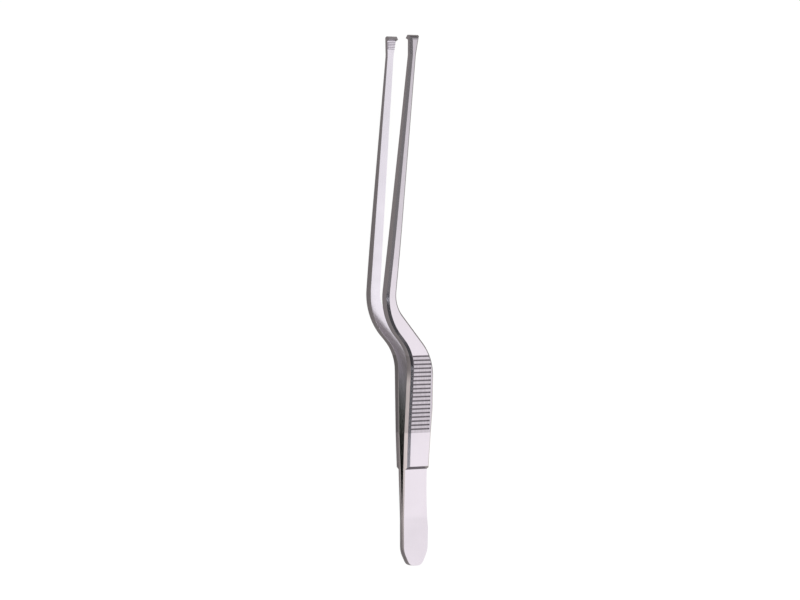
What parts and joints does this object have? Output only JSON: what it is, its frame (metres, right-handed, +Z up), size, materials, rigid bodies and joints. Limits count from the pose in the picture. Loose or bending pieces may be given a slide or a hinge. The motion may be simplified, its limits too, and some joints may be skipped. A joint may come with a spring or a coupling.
{
  "type": "offset surgical forceps",
  "caption": "Bayonet thumb forceps: two sprung steel arms welded at the heel, with grooved grips, an S-bend and slim shanks ending in small lipped jaws.",
  "frame": {"origin": "under the middle of the forceps, on the surface that it lies on", "axes": "+X along the arms from the heel to the jaws, +Y to the side that the shanks are offset to, +Z up, across the two arms"},
  "size_m": [0.2002, 0.0224, 0.0223],
  "materials": {
    "satin_steel": "satin stainless steel, lightly brushed along the arms"
  },
  "bodies": {
    "lower": {"lower_arm": "satin_steel"},
    "upper": {"upper_arm": "satin_steel"}
  },
  "joints": [
    {"name": "arm_squeeze", "type": "hinge", "parent": "lower", "child": "upper", "pos_m": [-0.08235, 0, 0.00325], "axis": [0, 1, 0], "range_deg": [0, 3.4], "stiffness_Nm_per_rad": 4, "springref_deg": -0.21}
  ]
}
